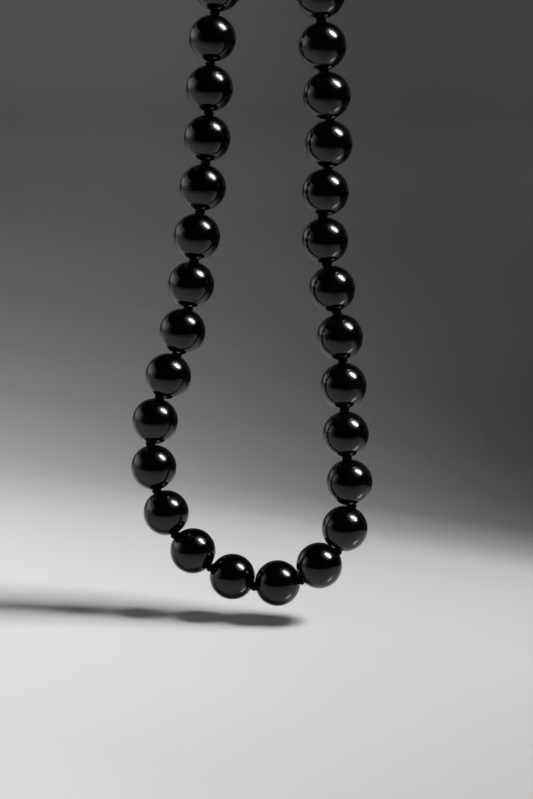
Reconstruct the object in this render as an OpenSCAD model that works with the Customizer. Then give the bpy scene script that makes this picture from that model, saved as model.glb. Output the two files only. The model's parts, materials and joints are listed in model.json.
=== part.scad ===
// Knotted single-strand necklace of round black pearls, hanging from the barrel of its magnetic clasp.
// +Z is up, the front faces -Y, and the origin is where the barrel's underside rests on a peg along Y.

/* [Pearls] */
// Diameter of every pearl
pearl_d = 10.1; // [9.7:0.05:10.15]
// Diameter of the drilled hole
hole_d = 1; // [0.9:0.05:1.1]
// Width of the small bevel round each end of the hole
hole_bevel = 0.1; // [0.05:0.05:0.15]

/* [Silk] */
// Diameter of the doubled silk thread inside the pearls
thread_d = 0.8; // [0.6:0.05:0.85]
// Widest diameter of a knot
knot_d = 2.1; // [1.8:0.05:2.15]

/* [Clasp] */
// Outer diameter of the barrel
barrel_d = 7; // [6.6:0.1:7.4]
// Length of one half of the barrel
half_length = 6.75; // [6.5:0.05:7]
// Wall thickness of the cups
cup_wall = 0.8; // [0.7:0.05:0.9]
// Length of one magnet
magnet_length = 3.5; // [3:0.1:4]
// How far the left magnet stands into the right cup
spigot_length = 0.6; // [0.4:0.1:0.8]
// Diameter of the end rings' wire
ring_wire_d = 0.9; // [0.8:0.05:0.95]
// Outer diameter of the end rings
ring_d = 3.8; // [3.7:0.05:3.9]

/* [French wire] */
// Outer diameter of the wire coil over the silk
gimp_d = 1; // [0.9:0.05:1]
// Diameter of the channel through the coil
gimp_bore_d = 0.6; // [0.5:0.05:0.65]

/* [Hidden] */
PEARLS = 40;
HALF = PEARLS / 2;
function number(i) = str(i < 10 ? "0" : "", i);
CLASP_NODES = [for (part = ["clasp_cup", "clasp_magnet", "clasp_ring", "gimp", "silk_end"])
               for (side = ["left", "right"]) str(part, "_", side)];
$fn = 64;

pearl_r = pearl_d / 2;
hole_r = hole_d / 2;
thread_r = thread_d / 2;
knot_r = knot_d / 2;
barrel_r = barrel_d / 2;
magnet_r = barrel_r - cup_wall;
ring_wire_r = ring_wire_d / 2;
ring_r = ring_d / 2 - ring_wire_r;
gimp_r = gimp_d / 2;

HOLE_FREE = 0.45;      // from a knot's pivot to the end of the silk that belongs to the next pearl
SEAT_DEPTH = 0.02;     // how far a knot sits into the mouth of its pearl's hole
SEAT_TAPER = 0.14;     // length over which the thread widens into the knot
SEAT_WIDEN = 0.04;     // length over which the knot reaches its full width
KNOT_EDGE = 0.25;      // from the knot's full width to its pivot
// The narrow end of a knot, which the next pearl turns past: (radius, height past the pivot)
KNOT_TIP = [[0.8, -0.13], [0.6, -0.03], [0.35, 0.11], [0.2, 0.24], [0, 0.24]];
END_KNOT_H = 1.3;      // an end knot's height above its pivot
END_KNOT_TOP = 0.35;   // height of its narrowing top
END_KNOT_EDGE = 0.3;   // from its full width to its pivot
KNOT_CLEAR = 0.1;      // between an end knot and the coil round it

FACE_GAP = 0.05;       // each cup's mating face to the middle plane
GLUE_GAP = 0.05;       // round each magnet
SPIGOT_GAP = 0.1;      // in front of the spigot
MAGNET_BEVEL = 0.25;   // round the front edge of each magnet
RIM_BEVEL = 0.2;       // round each cup's mating face
GROOVE = [0.9, 1.1, 1.4, 1.55];   // corners of the groove round a cup, from the middle plane
GROOVE_DEPTH = 0.2;
// The domed end of a cup: (distance from its end, narrowing)
DOME = [[2, 0.1], [1, 0.6], [0.35, 1.5], [0, 2.4]];
SOLDER = 0.25;         // how far a ring sinks into its cup's end
RING_GAP = 0.15;       // between a ring's wire and the coil that hooks it
SILK_GAP = 0.05;       // between the silk and the coil's channel
FORK_DROP = 2.95;      // from a ring's wire down to where the coil's legs meet
KNOT_DROP = 4.05;      // from a ring's wire down to the end knot's pivot

ring_x = half_length - SOLDER + ring_d / 2;
ring_low_z = barrel_r - ring_r;
end_knot_z = ring_low_z - KNOT_DROP;

// The strand's line from the left end knot round to the right one
ROUTE = [
    [-ring_x, 0, end_knot_z],
    [-11, 5, -20.5], [-10.5, 8, -40.5], [-10, 7.5, -61], [-12.5, 6, -81.5], [-13.5, 4, -103],
    [-16, 2.5, -124.5], [-19, 3, -145], [-26.5, 3.5, -169], [-20, 1, -192],
    [0.5, -3.5, -201.5],
    [17, -5.5, -189], [16.5, -4, -166.5], [15.5, -1, -145], [11.5, 0.5, -122], [13, -2, -101],
    [11, -5.5, -83], [10.5, -6, -62.5], [9.5, -4.5, -42.5], [9, -2.5, -22],
    [ring_x, 0, end_knot_z]];
LAST = len(ROUTE) - 1;

// A smooth curve through the route's points: t = 0 is the first point and t = LAST the last
function route_point(i) = i < 0 ? 2 * ROUTE[0] - ROUTE[1]
                        : i > LAST ? 2 * ROUTE[LAST] - ROUTE[LAST - 1] : ROUTE[i];
function curve_part(a, b, c, d, u) =
    b + (c - a) * u / 2 + (2 * a - 5 * b + 4 * c - d) * u * u / 2 + (3 * b - a - 3 * c + d) * u * u * u / 2;
function segment(t) = max(0, min(LAST - 1, floor(t)));
function curve(t) = let (i = segment(t))
    curve_part(route_point(i - 1), route_point(i), route_point(i + 1), route_point(i + 2), t - i);

// Equal steps along the curve: the next t that lies one pitch away from the point at t
function step_to(t, pitch, low, high, tries) =
    let (middle = (low + high) / 2)
    tries == 0 ? middle
    : norm(curve(middle) - curve(t)) < pitch ? step_to(t, pitch, middle, high, tries - 1)
    : step_to(t, pitch, low, middle, tries - 1);
function next_t(t, pitch) = step_to(t, pitch, t + 0.3, t + 0.8, 26);
function end_t(pitch, steps, t) = steps == 0 ? t : end_t(pitch, steps - 1, next_t(t, pitch));

// The pitch that divides the whole route into one equal step for each pearl
function fit_pitch(low, high, tries) =
    let (middle = (low + high) / 2)
    tries == 0 ? middle
    : end_t(middle, PEARLS, 0) < LAST ? fit_pitch(middle, high, tries - 1)
    : fit_pitch(low, middle, tries - 1);
pitch = fit_pitch(10.5, 10.9, 18);
knot_gap = pitch - pearl_d;
KNOT_T = [for (i = 0, t = 0; i <= PEARLS; t = next_t(t, pitch), i = i + 1) t];
KNOTS = [for (t = KNOT_T) curve(t)];

// Turns local +Z to the direction from one point to another
module aimed(from, to) {
    d = to - from;
    translate(from) rotate([0, acos(d.z / norm(d)), atan2(d.y, d.x)]) children();
}

// A pearl with its drilled hole, bevelled at both ends; the hole runs along Z
module drilled_pearl() {
    mouth_z = sqrt(pearl_r * pearl_r - hole_r * hole_r);
    difference() {
        sphere(r = pearl_r, $fn = 96);
        cylinder(r = hole_r, h = 2 * pearl_r, center = true);
        for (side = [0, 180])
            rotate([side, 0, 0]) translate([0, 0, mouth_z - hole_bevel])
                cylinder(r1 = hole_r, r2 = hole_r + 3 * hole_bevel, h = 3 * hole_bevel);
    }
}

// Half outline of a knot whose pivot is at z = 0 and whose thread comes from below.
// It is wide under its own pearl and narrow at the pivot, where the next pearl turns past it.
seat_z = -knot_gap / 2 - SEAT_DEPTH;
function knot_outline(thread_start) = concat([
    [0, thread_start], [thread_r, thread_start], [thread_r, seat_z - SEAT_TAPER],
    [knot_r / 2, seat_z], [knot_r, seat_z + SEAT_WIDEN], [knot_r, -KNOT_EDGE]], KNOT_TIP);

// The silk of one pearl: thread through the hole, ending in the knot when it has one
module silk(has_knot) {
    reach = pitch / 2;
    thread_start = HOLE_FREE - reach;
    if (has_knot)
        translate([0, 0, reach]) rotate_extrude() polygon(knot_outline(thread_start - reach));
    else
        translate([0, 0, thread_start]) cylinder(r = thread_r, h = -2 * thread_start);
}

// Pearl number i hangs between knots i - 1 and i; its silk ends in the knot away from the clasp
module pearl(i) {
    upper = i <= HALF ? KNOTS[i - 1] : KNOTS[i];
    lower = i <= HALF ? KNOTS[i] : KNOTS[i - 1];
    aimed((upper + lower) / 2, lower) {
        color([0.03, 0.03, 0.035]) drilled_pearl();
        color([0.02, 0.02, 0.02]) silk(i != HALF + 1);
    }
}

// Places a left-hand clasp piece, or its mirror image on the right
module on_side(side) {
    if (side == "left") children(); else mirror([1, 0, 0]) children();
}

// Solids turned round the barrel's axis: the outline's second number runs outwards from the middle plane
module turned(points) {
    translate([0, 0, barrel_r]) rotate([0, -90, 0]) rotate_extrude() polygon(points);
}

magnet_back = magnet_length - spigot_length;
module clasp_cup(side) {
    depth = side == "left" ? magnet_back : magnet_length + SPIGOT_GAP;
    color("silver") on_side(side) difference() {
        turned(concat([
            [0, FACE_GAP], [barrel_r - RIM_BEVEL, FACE_GAP], [barrel_r, FACE_GAP + RIM_BEVEL],
            [barrel_r, GROOVE[0]], [barrel_r - GROOVE_DEPTH, GROOVE[1]],
            [barrel_r - GROOVE_DEPTH, GROOVE[2]], [barrel_r, GROOVE[3]]],
            [for (step = DOME) [barrel_r - step[1], half_length - step[0]]],
            [[0, half_length]]));
        turned([[0, -1], [magnet_r + GLUE_GAP, -1], [magnet_r + GLUE_GAP, depth + GLUE_GAP],
                [0, depth + GLUE_GAP]]);
    }
}

module clasp_magnet(side) {
    front = side == "left" ? -spigot_length : spigot_length + SPIGOT_GAP;
    back = side == "left" ? magnet_back : magnet_length + SPIGOT_GAP;
    color("gray") on_side(side)
        turned([[0, front], [magnet_r - MAGNET_BEVEL, front], [magnet_r, front + MAGNET_BEVEL],
                [magnet_r, back], [0, back]]);
}

// A ring of round wire soldered on end to the cup; the strand hooks its lowest point
module clasp_ring(side) {
    color("silver") on_side(side) translate([-ring_x, 0, barrel_r]) rotate([90, 0, 0])
        rotate_extrude() translate([ring_r, 0]) circle(r = ring_wire_r, $fn = 48);
}

// A loop of round section over the ring's wire: an arc and two straight legs that meet below
loop_r = ring_wire_r + RING_GAP + gimp_r;
leg_angle = asin(loop_r / FORK_DROP);
leg_length = sqrt(FORK_DROP * FORK_DROP - loop_r * loop_r);
module hook_loop(r) {
    translate([-ring_x, 0, ring_low_z]) rotate([90, 0, 90]) {
        rotate([0, 0, -leg_angle]) rotate_extrude(angle = 180 + 2 * leg_angle)
            translate([loop_r, 0]) circle(r = r, $fn = 32);
        for (turn = [-leg_angle, 180 + leg_angle])
            rotate([0, 0, turn]) translate([loop_r, 0, 0])
                rotate([turn < 0 ? 90 : -90, 0, 0]) cylinder(r = r, h = leg_length, $fn = 32);
    }
}

module gimp(side) {
    color("lightgray") on_side(side) difference() {
        hook_loop(gimp_r);
        hook_loop(gimp_bore_d / 2);
        translate([-ring_x, 0, end_knot_z])
            cylinder(r = knot_r + KNOT_CLEAR, h = END_KNOT_H + KNOT_CLEAR / 2);
    }
}

// The silk inside the coil, and the end knot under it
module silk_end(side) {
    color([0.02, 0.02, 0.02]) on_side(side) union() {
        hook_loop(gimp_bore_d / 2 - SILK_GAP);
        translate([-ring_x, 0, end_knot_z]) mirror([0, 0, 1]) rotate_extrude()
            polygon(concat([[0, -END_KNOT_H], [0.6 * knot_r, -END_KNOT_H],
                            [knot_r, END_KNOT_TOP - END_KNOT_H], [knot_r, -END_KNOT_EDGE]], KNOT_TIP));
    }
}

for (side = ["left", "right"]) {
    clasp_cup(side);
    clasp_magnet(side);
    clasp_ring(side);
    gimp(side);
    silk_end(side);
}
for (i = [1 : PEARLS])
    pearl(i);
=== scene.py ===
"""Studio scene of a knotted strand of glossy black pearls, hanging closed from its magnetic barrel clasp."""
import json
import math
import random

import bpy
import numpy as np
from mathutils import Matrix, Vector, noise


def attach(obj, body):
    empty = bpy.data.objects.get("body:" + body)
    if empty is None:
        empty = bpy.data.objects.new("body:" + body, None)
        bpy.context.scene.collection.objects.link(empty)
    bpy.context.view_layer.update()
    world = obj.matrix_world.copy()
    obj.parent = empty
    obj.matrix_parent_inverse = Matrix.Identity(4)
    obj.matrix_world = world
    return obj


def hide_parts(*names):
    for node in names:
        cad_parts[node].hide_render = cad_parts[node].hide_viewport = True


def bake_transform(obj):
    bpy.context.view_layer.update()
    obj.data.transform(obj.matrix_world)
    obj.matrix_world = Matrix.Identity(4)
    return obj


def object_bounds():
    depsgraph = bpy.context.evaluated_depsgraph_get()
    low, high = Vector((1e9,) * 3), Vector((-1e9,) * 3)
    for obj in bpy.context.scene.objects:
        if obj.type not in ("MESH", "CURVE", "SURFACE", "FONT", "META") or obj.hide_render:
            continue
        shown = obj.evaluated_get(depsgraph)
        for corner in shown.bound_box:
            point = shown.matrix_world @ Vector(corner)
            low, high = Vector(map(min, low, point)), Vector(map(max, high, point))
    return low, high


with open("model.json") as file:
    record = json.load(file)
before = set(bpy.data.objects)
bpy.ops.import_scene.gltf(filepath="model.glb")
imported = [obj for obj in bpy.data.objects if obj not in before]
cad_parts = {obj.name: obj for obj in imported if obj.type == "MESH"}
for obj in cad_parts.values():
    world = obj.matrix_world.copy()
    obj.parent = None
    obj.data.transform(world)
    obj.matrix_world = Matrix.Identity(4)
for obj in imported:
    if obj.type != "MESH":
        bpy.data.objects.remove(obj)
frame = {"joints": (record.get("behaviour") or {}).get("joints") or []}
cad_low, cad_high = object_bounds()

MM = 0.001
TURN = 2 * math.pi
PEARLS = 40
HALF = PEARLS // 2
SEED = 41

# ---------------------------------------------------------------- sizes, in metres
PEARL_R = 5.09 * MM
SIZE_SPREAD = 0.002            # how much smaller the smallest pearl is, as a share of its radius
ROUND_ERROR = 0.002            # how far a pearl is out of round, as a share of its radius
HOLE_R = 0.5 * MM
HOLE_ROUND = 0.12 * MM
THREAD_R = 0.38 * MM
KNOT_R = 1.14 * MM
KNOT_HEIGHT = 0.42 * MM
KNOT_REACH = 0.45 * MM         # from a knot's pivot to where the silk follows a pearl rigidly
WRAP_R = 0.25 * MM             # the thread where it winds round a knot
WRAP_LINE_R = KNOT_R - 0.27 * MM        # and how far out its middle line runs
CROSSING_R = 0.2 * MM          # the thread where it crosses over the wraps
CROSSING_LINE_R = KNOT_R - 0.19 * MM    # and how far out its middle line runs
LOOP_SILK_R = 0.27 * MM        # the silk inside the French wire
RING_WIRE_R = 0.45 * MM
RING_R = 1.45 * MM
BARREL_R = 3.5 * MM
HALF_LENGTH = 6.75 * MM
DOME_LENGTH = 2.6 * MM         # the rounded end of a clasp half
POCKET_DEPTH = 3.6 * MM        # the magnet's pocket in a clasp half
GIMP_R = 0.5 * MM
GIMP_WIRE_R = 0.09 * MM
LOOP_GAP = 0.15 * MM           # between the ring's wire and the French wire
FORK_DROP = 2.95 * MM          # from the ring's wire down to where the end loop's legs meet
LEG_CUT = 0.55 * MM            # how much of a leg's lower end the end knot takes
END_STEM = 1.2 * MM            # thread above an end knot
FLOOR_DROP = 3.7 * MM          # clear space under the lowest pearl

# ---------------------------------------------------------------- the strand's joints
JOINTS = {joint["name"]: joint for joint in frame["joints"]}


def pivot(name):
    return Vector(JOINTS[name]["pos_m"])


# Knot 0 is under the left end loop, knot 20 is the lowest one and knot 40 is under the right end loop
KNOTS = [pivot(f"knot_bend_{i + 1:02d}") for i in range(HALF)]
KNOTS.append(pivot("clasp_pull"))
KNOTS += [pivot(f"knot_bend_{i:02d}_right") for i in range(HALF, 0, -1)]
SWING = {"left": pivot("loop_swing"), "right": pivot("loop_swing_right")}


def pearl_body(i):
    return f"pearl_{i:02d}"


def axis_of(i):
    """The direction of pearl i's hole, away from the left clasp half."""
    return (KNOTS[i] - KNOTS[i - 1]).normalized()


# ---------------------------------------------------------------- camera
CAMERA_AIM = Vector((-0.7 * MM, -1.5 * MM, -158.9 * MM))
CAMERA_DISTANCE = 0.4872       # metres
CAMERA_ELEVATION = math.radians(12.56)
CAMERA_LENS = 100              # millimetres


def make_camera():
    data = bpy.data.cameras.new("camera")
    data.lens = CAMERA_LENS
    data.clip_start = 0.01
    camera = bpy.data.objects.new("camera", data)
    bpy.context.scene.collection.objects.link(camera)
    back = Vector((0, -math.cos(CAMERA_ELEVATION), math.sin(CAMERA_ELEVATION)))
    camera.location = CAMERA_AIM + back * CAMERA_DISTANCE
    camera.rotation_euler = (-back).to_track_quat("-Z", "Y").to_euler()
    bpy.context.scene.camera = camera


# ---------------------------------------------------------------- mesh helpers
def add_mesh(name, points, faces, material, uvs=None):
    """A smooth-shaded mesh object with one material."""
    mesh = bpy.data.meshes.new(name)
    mesh.from_pydata([tuple(p) for p in points], [], faces)
    mesh.polygons.foreach_set("use_smooth", [True] * len(mesh.polygons))
    if uvs is not None:
        layer = mesh.uv_layers.new(name="UVMap")
        loops = np.empty(len(mesh.loops), int)
        mesh.loops.foreach_get("vertex_index", loops)
        layer.data.foreach_set("uv", np.asarray(uvs)[loops].astype(np.float32).ravel())
    mesh.validate()
    mesh.materials.append(material)
    piece = bpy.data.objects.new(name, mesh)
    bpy.context.scene.collection.objects.link(piece)
    return piece


class Shape:
    """Points, faces and texture coordinates of a piece while it grows."""

    def __init__(self):
        self.points, self.faces, self.uvs = [], [], []

    def add(self, points, faces, uvs=()):
        base = len(self.points)
        self.points.extend(points)
        self.faces.extend(tuple(base + i for i in face) for face in faces)
        self.uvs.extend(uvs)


def rotation_between(a, b):
    """The smallest turn from direction a to direction b, as a 3x3 array."""
    return np.array(Vector(a).rotation_difference(Vector(b)).to_matrix())


def lathe(profile, steps, radius_change=None):
    """A closed profile of (radius, height) pairs turned round Z.

    radius_change(angle, height) adds to a radius.
    """
    points, faces = [], []
    for s in range(steps):
        angle = TURN * s / steps
        for r, h in profile:
            if radius_change and r > 0:
                r += radius_change(angle, h)
            points.append((r * math.cos(angle), r * math.sin(angle), h))
    count = len(profile)
    for s in range(steps):
        here, there = s * count, (s + 1) % steps * count
        for k in range(count):
            n = (k + 1) % count
            faces.append((here + k, there + k, there + n, here + n))
    return points, faces


def sweep(path, radius, sides, lobes=0, lobe_depth=0.0, twist=0.0, flat=1.0):
    """A closed tube along path.

    lobes, lobe_depth and twist (turns a metre) give it the look of plied thread, and flat squashes it.
    """
    path = np.asarray(path, float)
    tangents = np.gradient(path, axis=0)
    tangents /= np.linalg.norm(tangents, axis=1)[:, None]
    lengths = np.concatenate([[0], np.cumsum(np.linalg.norm(np.diff(path, axis=0), axis=1))])
    side = np.cross(tangents[0], (0.0, 0.3, 1.0))
    if np.linalg.norm(side) < 1e-3:
        side = np.cross(tangents[0], (1.0, 0.0, 0.0))
    side /= np.linalg.norm(side)
    radius = np.broadcast_to(np.asarray(radius, float), (len(path),))
    angles = np.arange(sides) * TURN / sides
    points, uvs, faces = [], [], []
    for k, (centre, tangent) in enumerate(zip(path, tangents)):
        side = side - tangent * (side @ tangent)
        side /= np.linalg.norm(side)
        up = np.cross(tangent, side)
        phase = TURN * twist * lengths[k]
        groove = 0.5 - 0.5 * np.cos(lobes * (angles - phase / max(lobes, 1)))
        ring = radius[k] * (1 - lobe_depth * groove)
        points.extend(centre + np.outer(ring * np.cos(angles), side)
                      + np.outer(ring * np.sin(angles), up) * flat)
        uvs.extend((a / TURN, lengths[k] / MM) for a in angles)
    for k in range(len(path) - 1):
        for j in range(sides):
            n = (j + 1) % sides
            faces.append((k * sides + j, k * sides + n, (k + 1) * sides + n, (k + 1) * sides + j))
    faces.append(tuple(range(sides - 1, -1, -1)))
    faces.append(tuple((len(path) - 1) * sides + j for j in range(sides)))
    return points, faces, uvs


# ---------------------------------------------------------------- material helpers
class Paint:
    """A small helper for building a Principled material."""

    def __init__(self, name):
        self.material = bpy.data.materials.new(name)
        self.material.use_nodes = True
        self.tree = self.material.node_tree
        self.shader = self.tree.nodes["Principled BSDF"]

    def node(self, kind, inputs=None, **settings):
        made = self.tree.nodes.new(kind)
        for key, value in settings.items():
            setattr(made, key, value)
        for key, value in (inputs or {}).items():
            self.feed(made, key, value)
        return made

    def feed(self, node, key, value):
        if isinstance(value, bpy.types.NodeSocket):
            self.tree.links.new(value, node.inputs[key])
        else:
            node.inputs[key].default_value = value

    def set(self, **values):
        for key, value in values.items():
            self.feed(self.shader, key.replace("_", " "), value)

    def place(self):
        """Coordinates in millimetres, fixed to the piece."""
        coordinates = self.node("ShaderNodeTexCoord").outputs["Object"]
        return self.node("ShaderNodeVectorMath", {0: coordinates, "Scale": 1 / MM},
                         operation="SCALE").outputs["Vector"]

    def stretch(self, vector, amounts):
        return self.node("ShaderNodeVectorMath", {0: vector, 1: amounts},
                         operation="MULTIPLY").outputs["Vector"]

    def noise(self, vector, scale, detail=3.0, rough=0.5, distortion=0.0):
        return self.node("ShaderNodeTexNoise", {
            "Vector": vector, "Scale": scale, "Detail": detail, "Roughness": rough,
            "Distortion": distortion}).outputs["Fac"]

    def span(self, value, low, high, to_low, to_high, smooth=False):
        return self.node("ShaderNodeMapRange", {
            "Value": value, "From Min": low, "From Max": high, "To Min": to_low, "To Max": to_high},
            interpolation_type="SMOOTHSTEP" if smooth else "LINEAR").outputs["Result"]

    def ramp(self, value, stops):
        made = self.node("ShaderNodeValToRGB", {"Fac": value})
        elements = made.color_ramp.elements
        while len(elements) < len(stops):
            elements.new(1.0)
        for element, (position, colour) in zip(elements, stops):
            element.position = position
            element.color = (*colour, 1)
        return made.outputs["Color"]

    def mix(self, factor, a, b):
        return self.node("ShaderNodeMix", {"Factor": factor, 6: a, 7: b}, data_type="RGBA").outputs[2]

    def math(self, operation, a, b=0.0):
        return self.node("ShaderNodeMath", {0: a, 1: b}, operation=operation).outputs["Value"]

    def bump(self, height, strength, distance):
        return self.node("ShaderNodeBump", {
            "Height": height, "Strength": strength, "Distance": distance}).outputs["Normal"]


def pearl_material():
    paint = Paint("black_pearl")
    place = paint.place()
    cloud = paint.noise(place, 0.35, 2.0)
    skin = paint.noise(place, 1.6, 3.0, 0.55)
    specks = paint.noise(place, 26.0, 2.0)
    paint.set(
        Base_Color=paint.ramp(cloud, [(0.3, (0.0006, 0.0008, 0.0008)), (0.7, (0.0014, 0.0014, 0.0013))]),
        Roughness=paint.span(skin, 0.3, 0.7, 0.09, 0.13),
        IOR=1.39, Specular_Tint=(0.95, 1.0, 0.98, 1),
        Normal=paint.bump(paint.math("ADD", skin, paint.math("MULTIPLY", specks, 0.03)), 0.12, 0.03 * MM))
    return paint.material


def silk_material():
    paint = Paint("black_silk")
    place = paint.place()
    along_thread = paint.stretch(paint.node("ShaderNodeTexCoord").outputs["UV"], (24.0, 2.4, 1.0))
    fibres = paint.noise(along_thread, 1.0, 4.0, 0.65, 0.4)
    patches = paint.noise(place, 2.2, 2.0)
    paint.set(
        Base_Color=paint.ramp(paint.math("ADD", paint.math("MULTIPLY", fibres, 0.7),
                                         paint.math("MULTIPLY", patches, 0.3)),
                              [(0.3, (0.001, 0.0009, 0.0009)), (0.75, (0.006, 0.0056, 0.0053))]),
        Roughness=paint.span(fibres, 0.3, 0.7, 0.6, 0.85), Specular_IOR_Level=0.06,
        Sheen_Weight=0.02, Sheen_Roughness=0.4,
        Normal=paint.bump(fibres, 0.7, 0.03 * MM))
    return paint.material


def metal_material(name, dark, light, low, high, scratch):
    paint = Paint(name)
    place = paint.place()
    smudge = paint.noise(place, 0.5, 3.0, 0.6)
    streaks = paint.noise(paint.stretch(place, (0.8, 9.0, 9.0)), 2.0, 4.0, 0.7)
    paint.set(
        Base_Color=paint.ramp(smudge, [(0.3, dark), (0.7, light)]),
        Metallic=1.0,
        Roughness=paint.span(paint.math("ADD", paint.math("MULTIPLY", smudge, 0.5),
                                        paint.math("MULTIPLY", streaks, 0.5)), 0.35, 0.65, low, high),
        Normal=paint.bump(streaks, scratch, 0.01 * MM))
    return paint.material


# ---------------------------------------------------------------- pearls
def pearl_profile(radius):
    """Half section of a drilled pearl, from the top mouth round the outside and back up through the hole."""
    start = math.asin((HOLE_R + HOLE_ROUND) / radius)
    outer_steps, round_steps, hole_steps = 64, 4, 6
    outline = []
    for k in range(outer_steps + 1):
        angle = start + (math.pi - 2 * start) * k / outer_steps
        outline.append((radius * math.sin(angle), radius * math.cos(angle)))
    mouth = radius * math.cos(start)
    inside = []
    for k in range(1, round_steps + 1):
        angle = math.pi / 2 * k / round_steps
        inside.append((HOLE_R + HOLE_ROUND * (1 - math.sin(angle)),
                       mouth - HOLE_ROUND * (1 - math.cos(angle))))
    depth = inside[-1][1]
    lower = [(r, -h) for r, h in inside]
    hole = [(HOLE_R, -depth + 2 * depth * k / hole_steps) for k in range(1, hole_steps)]
    upper = list(reversed(inside))
    return outline + lower + hole + upper


def any_angle(draw):
    return draw.uniform(0, 6.28)


def make_pearl(i, material):
    """One pearl, a little out of round. Only its outside is uneven: the wall of its hole stays straight."""
    draw = random.Random(SEED * 100 + i)
    radius = PEARL_R * (1 - SIZE_SPREAD * draw.random())
    points, faces = lathe(pearl_profile(radius), 96)
    points = np.array(points)
    offset = Vector([draw.uniform(0, 50) for _ in range(3)])
    lengths = np.linalg.norm(points, axis=1)
    change = np.array([noise.noise(Vector(p / l) * 1.3 + offset) for p, l in zip(points, lengths)])
    outside = np.clip((lengths / radius - 0.9) * 10, 0, 1)
    points *= (1 - ROUND_ERROR * (0.5 + 0.5 * change) * outside)[:, None]
    roll = np.array(Matrix.Rotation(any_angle(draw), 3, "Z"))
    turn = rotation_between((0, 0, -1), axis_of(i)) @ roll
    centre = np.array((KNOTS[i - 1] + KNOTS[i]) / 2)
    piece = add_mesh(f"bead_{i:02d}", points @ turn.T + centre, faces, material)
    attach(piece, pearl_body(i))
    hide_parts(f"pearl_{i:02d}")


# ---------------------------------------------------------------- silk
def smooth_step(t):
    t = np.clip(t, 0, 1)
    return t * t * (3 - 2 * t)


class KnotFrame:
    """Local knot space: Z runs from one pearl's hole through the pivot into the next one's."""

    def __init__(self, where, before, after, roll):
        turn = np.array(Matrix.Rotation(roll, 3, "Z"))
        self.where = np.array(where)
        self.before = rotation_between((0, 0, 1), before) @ turn
        self.after = rotation_between(before, after) @ self.before

    def place(self, points):
        points = np.asarray(points, float)
        share = smooth_step((points[:, 2] + KNOT_REACH) / (2 * KNOT_REACH))[:, None]
        return self.where + (1 - share) * (points @ self.before.T) + share * (points @ self.after.T)


def knot_path(draw, height):
    """The thread's wraps: out from the middle, 2.7 turns round it and back in."""
    turns, steps, ends = 2.7, 110, 0.14
    hand = draw.choice((-1, 1))
    phase = any_angle(draw)
    path = []
    for k in range(steps + 1):
        t = k / steps
        angle = hand * TURN * turns * (t - 0.5)
        rise = float(smooth_step(min(t, 1 - t) / ends))
        r = WRAP_LINE_R * rise * (1 + 0.05 * math.sin(3 * angle + phase))
        path.append((r * math.cos(angle), r * math.sin(angle), height * (t - 0.5) * (0.6 + 0.4 * rise)))
    return path, hand


def crossing_path(draw, hand, height):
    """The strand that crosses over the wraps."""
    path, steps = [], 24
    middle = any_angle(draw)
    for k in range(steps + 1):
        t = k / steps - 0.5
        angle = middle - hand * 2.2 * t
        r = CROSSING_LINE_R * (1 - 0.55 * (2 * abs(t)) ** 4)
        path.append((r * math.cos(angle), r * math.sin(angle), height * 0.95 * t))
    return path


def fibre_path(draw, height):
    """One loose fibre that stands out of the knot."""
    angle = any_angle(draw)
    out = np.array((math.cos(angle), math.sin(angle), draw.uniform(-0.5, 0.5)))
    drift = np.array([draw.uniform(-1, 1) for _ in range(3)])
    start = np.array((out[0] * KNOT_R * 0.8, out[1] * KNOT_R * 0.8, draw.uniform(-0.4, 0.4) * height))
    length = draw.uniform(0.25, 0.8) * MM
    return [start + length * (t * out + t * t * 0.6 * drift) for t in (0, 0.2, 0.4, 0.6, 0.8, 1.0)]


# Two plies, and their twist in turns a metre in the straight thread, in a knot and in an end loop
PLY = {"lobes": 2, "lobe_depth": 0.3}
THREAD_TWIST, KNOT_TWIST, LOOP_TWIST = 700, 1100, 900
FIBRE_R = (0.014, 0.005)       # a loose fibre's root and tip, in millimetres
THREAD_END = 1.6 * MM          # how far the thread runs on into the next pearl


def make_silk(name, where, before, after, draw, height, stem, body, node, material,
              blend=True):
    """A knot with the thread on both sides of it.

    stem is how far the thread runs back before the pivot. With blend the piece is left in world space, on no
    body; without it, it is attached to body.
    """
    shape = Shape()
    thread = [(0, 0, z) for z in np.concatenate([
        np.linspace(-stem, -KNOT_REACH, 8, endpoint=False), np.linspace(-KNOT_REACH, THREAD_END, 40)])]
    shape.add(*sweep(thread, THREAD_R, 14, twist=THREAD_TWIST, **PLY))
    wraps, hand = knot_path(draw, height)
    shape.add(*sweep(wraps, WRAP_R, 12, twist=KNOT_TWIST * hand, flat=0.92, **PLY))
    shape.add(*sweep(crossing_path(draw, hand, height), CROSSING_R, 12, twist=KNOT_TWIST, **PLY))
    for _ in range(draw.randint(5, 11)):
        path = fibre_path(draw, height)
        shape.add(*sweep(path, np.linspace(*FIBRE_R, len(path)) * MM, 4))
    knot = KnotFrame(where, before, after, any_angle(draw))
    piece = add_mesh(name, knot.place(shape.points), shape.faces, material, shape.uvs)
    if blend:
        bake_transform(piece)
    else:
        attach(piece, body)
    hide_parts(node)


def make_knots(material):
    """Each pearl's thread and the knot on its side away from the clasp."""
    through = (KNOTS[1] - KNOTS[0]).length - KNOT_REACH
    for i in range(1, PEARLS + 1):
        draw = random.Random(SEED * 1000 + i)
        name, node = f"silk_{i:02d}", f"pearl_{i:02d}"
        if i <= HALF:
            make_silk(name, KNOTS[i], axis_of(i), axis_of(i + 1), draw, KNOT_HEIGHT, through,
                      pearl_body(i), node, material, blend=i < HALF)
        elif i > HALF + 1:
            make_silk(name, KNOTS[i - 1], -axis_of(i), -axis_of(i - 1), draw, KNOT_HEIGHT, through,
                      pearl_body(i), node, material)
        else:
            make_last_thread(name, i, node, material)


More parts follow.
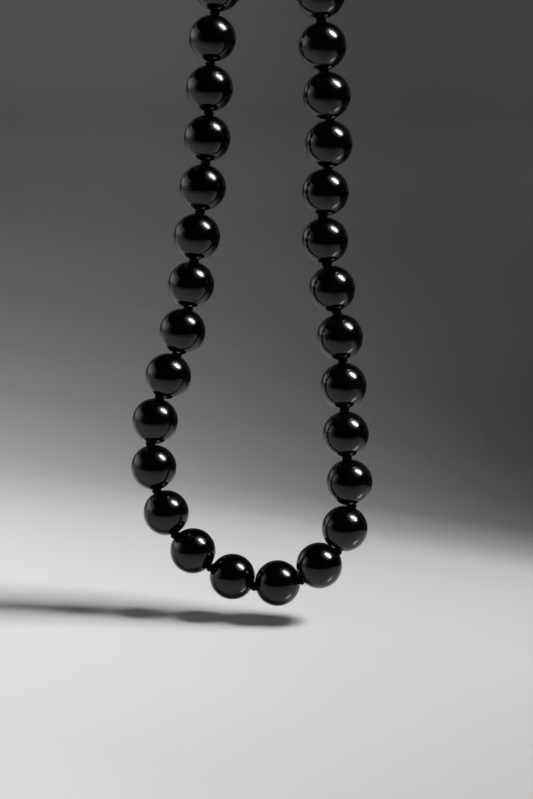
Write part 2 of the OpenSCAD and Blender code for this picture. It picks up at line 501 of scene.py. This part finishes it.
def make_last_thread(name, i, node, material):
    """The thread through the pearl after the lowest knot, which has no knot of its own.

    It stops short of both mouths, inside the neighbours' thread, and is a little thinner than that.
    """
    start, end = KNOTS[i - 1], KNOTS[i]
    path = [start.lerp(end, t) for t in np.linspace(0.16, 0.84, 30)]
    points, faces, uvs = sweep(path, THREAD_R * 0.97, 14, twist=THREAD_TWIST, **PLY)
    piece = add_mesh(name, points, faces, material, uvs)
    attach(piece, pearl_body(i))
    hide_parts(node)


# ---------------------------------------------------------------- clasp
LOOP_R = RING_WIRE_R + LOOP_GAP + GIMP_R


def hook_path(steps_per_mm):
    """The loop's middle line in its own plane: up one leg, over the ring's wire and down the other leg."""
    lean = math.asin(LOOP_R / FORK_DROP)
    leg = math.sqrt(FORK_DROP ** 2 - LOOP_R ** 2) - LEG_CUT
    arc = LOOP_R * (math.pi + 2 * lean)
    total = 2 * leg + arc
    path = []
    for s in np.linspace(0, total, int(total / MM * steps_per_mm)):
        if s < leg or s > leg + arc:
            side = 1 if s < leg else -1
            along = leg - s if s < leg else s - leg - arc
            y = LOOP_R * math.cos(lean) - along * math.sin(lean)
            z = -LOOP_R * math.sin(lean) - along * math.cos(lean)
            path.append((0, side * y, z))
        else:
            angle = -lean + (s - leg) / LOOP_R
            path.append((0, LOOP_R * math.cos(angle), LOOP_R * math.sin(angle)))
    return np.array(path)


def make_gimp(side, material, silk):
    """French wire, a fine coil wound over the silk where it hooks the ring, and that silk."""
    turns_per_mm, per_turn = 5.0, 14
    line = hook_path(turns_per_mm * per_turn)
    tangents = np.gradient(line, axis=0)
    tangents /= np.linalg.norm(tangents, axis=1)[:, None]
    across = np.array((1.0, 0.0, 0.0))
    coil = []
    for k, (centre, tangent) in enumerate(zip(line, tangents)):
        angle = TURN * k / per_turn
        out = np.cross(tangent, across)
        round_it = math.cos(angle) * across + math.sin(angle) * out
        coil.append(centre + (GIMP_R - GIMP_WIRE_R) * round_it)
    where = np.array(SWING[side])
    points, faces, uvs = sweep(coil, GIMP_WIRE_R, 7)
    piece = add_mesh(f"french_wire_{side}", np.array(points) + where, faces, material, uvs)
    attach(piece, f"end_loop_{side}")
    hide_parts(f"gimp_{side}")
    points, faces, uvs = sweep(hook_path(8) + where, LOOP_SILK_R, 10, twist=LOOP_TWIST, **PLY)
    inner = add_mesh(f"silk_loop_{side}", points, faces, silk, uvs)
    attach(inner, f"end_loop_{side}")
    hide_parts(f"silk_end_{side}")


def make_end_knot(side, material):
    first = 1 if side == "left" else PEARLS
    where = KNOTS[0] if side == "left" else KNOTS[PEARLS]
    after = axis_of(1) if side == "left" else -axis_of(PEARLS)
    draw = random.Random(SEED * 10 + first)
    make_silk(f"end_knot_{side}", where, Vector((0, 0, -1)), after, draw, KNOT_HEIGHT * 1.1, END_STEM,
              f"end_loop_{side}", f"silk_end_{side}", material)


# A cup from the groove behind its rim to the rim itself: (height, depth under the barrel), in millimetres
RIM = [(1.6, 0.02), (1.5, 0.16), (1.35, 0.2), (1.2, 0.16), (1.1, 0.02), (1.0, 0.0),
       (0.6, 0.0), (0.3, 0.0), (0.18, 0.03), (0.1, 0.09), (0.05, 0.18)]
FLUTES = 40
FLUTE_DEPTH = 0.11 * MM
FLUTE_RUN_OUT = 0.35 * MM


def cup_profile():
    """Half section of a cup: (radius, distance from the middle plane), with the magnet's pocket."""
    face, chamfer = 0.05 * MM, 0.1 * MM
    outline = [(0.0, HALF_LENGTH)]
    dome_start = HALF_LENGTH - DOME_LENGTH
    dome_steps = 24
    for k in range(dome_steps + 1):
        angle = math.pi / 2 * k / dome_steps
        outline.append((max(BARREL_R * math.sin(angle) ** 0.8, 1e-6),
                        dome_start + DOME_LENGTH * math.cos(angle)))
    for h in np.linspace(dome_start / MM - 0.1, 1.75, 26):
        outline.append((BARREL_R, h * MM))
    for h, depth in RIM:
        outline.append((BARREL_R - depth * MM, h * MM))
    pocket = BARREL_R - 0.75 * MM
    outline += [(pocket + chamfer, face), (pocket, face + chamfer), (pocket, 1.0 * MM), (pocket, 3.0 * MM),
                (pocket, POCKET_DEPTH), (0.0, POCKET_DEPTH)]
    return outline


def flute(angle, height):
    """Shallow grip flutes round the middle of a cup."""
    low, high = 1.9 * MM, HALF_LENGTH - 2.8 * MM
    fade_in = smooth_step((height - low) / FLUTE_RUN_OUT)
    fade_out = smooth_step((high - height) / FLUTE_RUN_OUT)
    return -FLUTE_DEPTH * float(fade_in * fade_out) * abs(math.sin(angle * FLUTES / 2))


def lay_down(points, side):
    """Turns points built round Z onto the barrel's axis, with +Z towards the end of that clasp half."""
    sign = -1 if side == "left" else 1
    local = np.array(points)
    return np.stack([sign * local[:, 2], local[:, 0], sign * local[:, 1]], 1) + (0, 0, BARREL_R)


def make_cup(side, material):
    points, faces = lathe(cup_profile(), 320, flute)
    shape = Shape()
    shape.add(points, faces)
    add_beads(shape)
    piece = add_mesh(f"clasp_shell_{side}", lay_down(shape.points, side), shape.faces, material)
    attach(piece, f"clasp_{side}")
    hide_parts(f"clasp_cup_{side}")


def add_beads(shape, count=54, bead_r=0.17 * MM, depth=0.13 * MM, height=1.35 * MM):
    """A row of tiny beads in the groove behind the mating rim."""
    for b in range(count):
        angle = TURN * b / count
        centre = np.array((math.cos(angle), math.sin(angle), 0)) * (BARREL_R - depth) + (0, 0, height)
        points, faces = ball(bead_r)
        shape.add([tuple(p + centre) for p in points], faces)


def ball(radius, rings=6, steps=10):
    points = [np.array((0, 0, radius))]
    for i in range(1, rings):
        for j in range(steps):
            a, b = math.pi * i / rings, TURN * j / steps
            points.append(radius * np.array(
                (math.sin(a) * math.cos(b), math.sin(a) * math.sin(b), math.cos(a))))
    points.append(np.array((0, 0, -radius)))
    faces = [(0, 1 + j, 1 + (j + 1) % steps) for j in range(steps)]
    for i in range(rings - 2):
        for j in range(steps):
            n = (j + 1) % steps
            a, b = 1 + i * steps, 1 + (i + 1) * steps
            faces.append((a + j, b + j, b + n, a + n))
    last = 1 + (rings - 2) * steps
    faces += [(last + (j + 1) % steps, last + j, len(points) - 1) for j in range(steps)]
    return points, faces


# Front and back of each magnet, from the barrel's middle plane. The left one stands proud as a spigot
MAGNET_ENDS = {"left": (-0.6 * MM, 2.9 * MM), "right": (0.7 * MM, POCKET_DEPTH)}


def make_magnet(side, material):
    radius = BARREL_R - 0.8 * MM
    front, back = MAGNET_ENDS[side]
    edge, edge_steps = 0.25 * MM, 6
    outline = [(0.0, front)]
    outline += [(radius * t, front) for t in (0.3, 0.6, 0.85)]
    for k in range(edge_steps + 1):
        angle = math.pi / 2 * k / edge_steps
        outline.append((radius - edge + edge * math.sin(angle), front + edge * (1 - math.cos(angle))))
    outline += [(radius, back - edge), (radius, back), (radius * 0.5, back), (0.0, back)]
    points, faces = lathe(outline, 96)
    piece = add_mesh(f"magnet_disc_{side}", lay_down(points, side), faces, material)
    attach(piece, f"clasp_{side}")
    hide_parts(f"clasp_magnet_{side}")


def make_ring(side, material):
    """A ring of round wire with a little solder where it meets the cup."""
    centre = np.array((SWING[side].x, 0, SWING[side].z + RING_R))
    sign = -1 if side == "left" else 1
    points, faces = [], []
    steps, sides = 72, 20
    for i in range(steps):
        a = TURN * i / steps
        out = np.array((math.cos(a), 0, math.sin(a)))
        towards_cup = max(0.0, -sign * math.cos(a)) ** 10
        for j in range(sides):
            b = TURN * j / sides
            solder = 0.35 * towards_cup * max(0.0, math.cos(b))
            r = RING_WIRE_R * (1 + solder)
            points.append(centre + out * (RING_R + r * math.cos(b)) + np.array((0, r * math.sin(b), 0)))
    for i in range(steps):
        for j in range(sides):
            n, m = (i + 1) % steps, (j + 1) % sides
            faces.append((i * sides + j, n * sides + j, n * sides + m, i * sides + m))
    piece = add_mesh(f"end_ring_{side}", points, faces, material)
    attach(piece, f"clasp_{side}")
    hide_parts(f"clasp_ring_{side}")


# ---------------------------------------------------------------- stage and light
# Painted light and shade on the floor from front to back, at (millimetres, tone), on its left and on its
# right side: a painted pool of light on the left, painted shade on the right and towards the back
FLOOR_PAINTED_LIGHT_LEFT = [(-100, 0.9), (-50, 0.97), (0, 0.94), (30, 0.84), (50, 0.74), (70, 0.58), (90, 0.5),
              (110, 0.455), (140, 0.37), (190, 0.275), (260, 0.2), (370, 0.145), (600, 0.112), (900, 0.11)]
FLOOR_PAINTED_LIGHT_RIGHT = [(-100, 0.42), (-50, 0.48), (0, 0.58), (30, 0.6), (50, 0.6), (70, 0.56), (90, 0.23),
               (110, 0.04), (140, 0.012), (190, 0.008), (260, 0.017), (370, 0.035), (600, 0.045),
               (900, 0.065)]
FLOOR_PAINTED_FALLOFF = [(0, 0.6), (0.8, 0.9), (1, 1)]    # painted shade towards the camera: the share of that tone that is left where the light falls off
PAINTED_FALLOFF_SPAN = (-900, -100)       # and the millimetres in front of the necklace over which it does
LIGHT_POOL_SLANT = 0.6              # how much further back the painted pool of light reaches on the left
FLOOR_BLEND = 140              # half the width over which left turns into right, in millimetres

FLOOR_Z = cad_low.z - FLOOR_DROP
FLOOR_R = 1.2                  # the flat part, then it curves up into the wall
CURVE_R = 0.4
WALL_TOP = 1.1

CARD_R = 1.15
CARD_ARC = (60, 260)           # degrees clockwise from +Y, seen from above
CARD_FADE = [(0, 1), (0.35, 0.85), (0.7, 0.45), (1, 0)]   # how solid the cards are from front to back
CARD_FADE_SPAN = (-700, -120)  # over these millimetres of depth
CARD_SOLID_SPAN = (240, 420)   # and the millimetres to the right over which they turn solid again
STAGE_PIECES = ("floor_sweep", "black_card", "floor_card")


def grey(tone):
    return (tone, tone, tone)


def painted_light_floor_material():
    paint = Paint("paper_floor_painted_light")
    where = paint.node("ShaderNodeSeparateXYZ", {0: paint.place()})
    x, y = where.outputs["X"], where.outputs["Y"]
    # These tones are painted light and shade, not the paper's own colour: a pool of light on the left, shade
    # on the right and back, and darker towards the camera.
    back = paint.math("ADD", y, paint.math("MULTIPLY", x, LIGHT_POOL_SLANT))
    first, last = FLOOR_PAINTED_LIGHT_LEFT[0][0], FLOOR_PAINTED_LIGHT_LEFT[-1][0]
    along = paint.span(back, first, last, 0.0, 1.0)
    left, right = (paint.ramp(along, [((mm - first) / (last - first), grey(tone)) for mm, tone in tones])
                   for tones in (FLOOR_PAINTED_LIGHT_LEFT, FLOOR_PAINTED_LIGHT_RIGHT))
    across = paint.span(x, -FLOOR_BLEND, FLOOR_BLEND, 0.0, 1.0, smooth=True)
    tone = paint.mix(across, left, right)
    painted_falloff = paint.ramp(paint.span(y, *PAINTED_FALLOFF_SPAN, 0.0, 1.0), [(t, grey(share)) for t, share in FLOOR_PAINTED_FALLOFF])
    fibres = paint.noise(paint.place(), 3.0, 4.0, 0.6)
    paint.set(Base_Color=paint.mix(painted_falloff, (*grey(0.01), 1), tone),
              Roughness=paint.span(fibres, 0.3, 0.7, 0.265, 0.275), Specular_IOR_Level=0.3)
    return paint.material


def make_floor():
    """A round floor that curves up into a wall."""
    outline = [(r, 0.0) for r in (0.0, 0.3, 0.8, FLOOR_R)]
    outline += [(FLOOR_R + CURVE_R * math.sin(a), CURVE_R - CURVE_R * math.cos(a))
                for a in np.linspace(0.1, math.pi / 2, 12)]
    outline += [(FLOOR_R + CURVE_R, 2 * CURVE_R), (FLOOR_R + CURVE_R, WALL_TOP)]
    steps, count = 96, len(outline)
    points, faces = [], []
    for s in range(steps):
        angle = TURN * s / steps
        points += [(r * math.cos(angle), r * math.sin(angle), FLOOR_Z + h) for r, h in outline]
        here, there = s * count, (s + 1) % steps * count
        faces += [(here + k, there + k, there + k + 1, here + k + 1) for k in range(count - 1)]
    add_mesh("floor_sweep", points, faces, painted_light_floor_material())


def card_material():
    """Black, and fading out towards the back, except on the right, so that no edge shows in the pearls. It
    paints dark reflections into the pearls.
    """
    paint = Paint("black_card")
    place = paint.place()
    where = paint.node("ShaderNodeSeparateXYZ", {0: place})
    front = paint.ramp(paint.span(where.outputs["Y"], *CARD_FADE_SPAN, 0.0, 1.0),
                       [(t, grey(share)) for t, share in CARD_FADE])
    right = paint.span(where.outputs["X"], *CARD_SOLID_SPAN, 0.0, 1.0, smooth=True)
    nap = paint.noise(place, 0.2, 3.0)
    paint.set(Base_Color=paint.ramp(nap, [(0.3, grey(0.0008)), (0.7, grey(0.0015))]),
              Roughness=paint.span(nap, 0.3, 0.7, 0.8, 0.9), Specular_IOR_Level=0.0,
              Alpha=paint.math("MAXIMUM", front, right))
    return paint.material


def make_card(name, points, faces, material):
    """A black card that only reflections see: a painted dark reflection in the pearls."""
    card = add_mesh(name, points, faces, material)
    card.visible_camera = card.visible_diffuse = card.visible_shadow = False


def make_cards():
    """One card round the front of the set, and one on the floor that paints the pale floor dark in the
    pearls' reflections.
    """
    black = card_material()
    steps, rows = 40, (0.001, 0.6, 1.15)
    start, end = CARD_ARC
    points, faces = [], []
    for s in range(steps + 1):
        a = math.radians(start + (end - start) * s / steps)
        x, y = CARD_R * math.sin(a), CARD_R * math.cos(a)
        points += [(x, y, FLOOR_Z + h) for h in rows]
    for s in range(steps):
        faces += [(3 * s + k, 3 * s + 3 + k, 3 * s + 4 + k, 3 * s + 1 + k) for k in (0, 1)]
    make_card("black_card", points, faces, black)
    cells, half, lift = 12, 1.1, 0.0005
    row = cells + 1
    points = [(-half + 2 * half * i / cells, -half + 2 * half * j / cells, FLOOR_Z + lift)
              for j in range(row) for i in range(row)]
    faces = [(j * row + i, j * row + i + 1, (j + 1) * row + i + 1, (j + 1) * row + i)
             for j in range(cells) for i in range(cells)]
    make_card("floor_card", points, faces, black)


def area_light(name, direction, distance, size, power, long_axis, colour=(1, 1, 1), shape="RECTANGLE"):
    """A lamp that stands in that direction from the camera's aim and faces it."""
    data = bpy.data.lights.new(name, "AREA")
    data.shape = shape
    data.size, data.size_y = size
    data.energy = power
    data.color = colour
    lamp = bpy.data.objects.new(name, data)
    bpy.context.scene.collection.objects.link(lamp)
    back = Vector(direction).normalized()
    along = Vector(long_axis) - back * Vector(long_axis).dot(back)
    along.normalize()
    turn = Matrix((along, back.cross(along), back)).transposed().to_4x4()
    lamp.matrix_world = Matrix.Translation(CAMERA_AIM + back * distance) @ turn
    lamp.visible_camera = False
    return lamp


def only_for(light, kind, names):
    """Limits what a light shines on ("receiver") or what may shade it ("blocker")."""
    group = bpy.data.collections.new(f"{light.name}_{kind}")
    for name in names:
        group.objects.link(bpy.data.objects[name])
    setattr(light.light_linking, f"{kind}_collection", group)


# The boxes that the pearls mirror round the key light, from the brightest out: name, distance, size, power
BOXES = [("soft_box", 2.1, (1.15, 0.75), 80),
         ("soft_edge", 2.15, (1.9, 1.5), 12),
         ("soft_spill", 2.2, (2.7, 2.4), 6)]
BOX_DIRECTION = (0.634, -0.105, 0.766)
BOX_AXIS = (0.766, 0, -0.643)


def make_light():
    """The key light lights the set, and the larger boxes round it are what the pearls mirror.

    The wall and the warm card stand for the room on the left. The glint is the key light as the glossy floor
    mirrors it, so it stands under the floor and only the pearls see it.
    """
    meshes = [piece for piece in bpy.data.objects if piece.type == "MESH"]
    shiny = [piece.name for piece in meshes if piece.data.materials[0] != silk_look]
    necklace = [piece.name for piece in meshes if piece.name not in STAGE_PIECES]
    beads = [name for name in necklace if name.startswith("bead_")]

    key = area_light("key", (0.635, -0.07, 0.756), 2.2, (0.8, 0.55), 62, BOX_AXIS, shape="ELLIPSE")
    key.visible_glossy = False
    for name, distance, size, power in BOXES:
        box = area_light(name, BOX_DIRECTION, distance, size, power, BOX_AXIS, shape="ELLIPSE")
        box.visible_diffuse = False
        only_for(box, "blocker", ["floor_sweep"])
        only_for(box, "receiver", shiny)
    area_light("small_lamp", (0.466, -0.101, 0.878), 2.0, (0.06, 0.06), 0.3, (1, 0, 0), (1, 0.85, 0.6))

    wall = area_light("pale_wall", (-0.91, 0.415, 0.08), 1.45, (1.64, 0.8), 3.6, (0.415, 0.91, 0))
    card = area_light("warm_card", (-0.979, -0.163, -0.02), 1.1, (0.2, 0.06), 0.03, (0, 1, 0), (1, 0.6, 0.3))
    for lamp in (wall, card):
        only_for(lamp, "receiver", necklace)

    glint = area_light("floor_glint", (0.6, -0.07, -0.8), 2.1, (0.75, 0.3), 3, (0.766, 0, 0.643),
                       shape="ELLIPSE")
    glint.visible_diffuse = False
    only_for(glint, "receiver", beads)
    only_for(glint, "blocker", beads)

    world = bpy.data.worlds.new("world")
    world.use_nodes = True
    world.node_tree.nodes["Background"].inputs["Color"].default_value = (*grey(0.001), 1)
    bpy.context.scene.world = world
    bpy.context.scene.view_settings.view_transform = "Standard"


# ---------------------------------------------------------------- the whole necklace
make_camera()
pearl_look = pearl_material()
silk_look = silk_material()
clasp_look = metal_material("polished_silver", (0.72, 0.72, 0.74), (0.9, 0.9, 0.91), 0.08, 0.2, 0.15)
magnet_look = metal_material("nickel_plate", (0.45, 0.45, 0.46), (0.62, 0.61, 0.6), 0.22, 0.38, 0.25)
wire_look = metal_material("bright_wire", (0.6, 0.6, 0.62), (0.82, 0.82, 0.84), 0.18, 0.32, 0.2)
for number in range(1, PEARLS + 1):
    make_pearl(number, pearl_look)
make_knots(silk_look)
for end in ("left", "right"):
    make_cup(end, clasp_look)
    make_magnet(end, magnet_look)
    make_ring(end, clasp_look)
    make_gimp(end, wire_look, silk_look)
    make_end_knot(end, silk_look)
make_floor()
make_cards()
make_light()
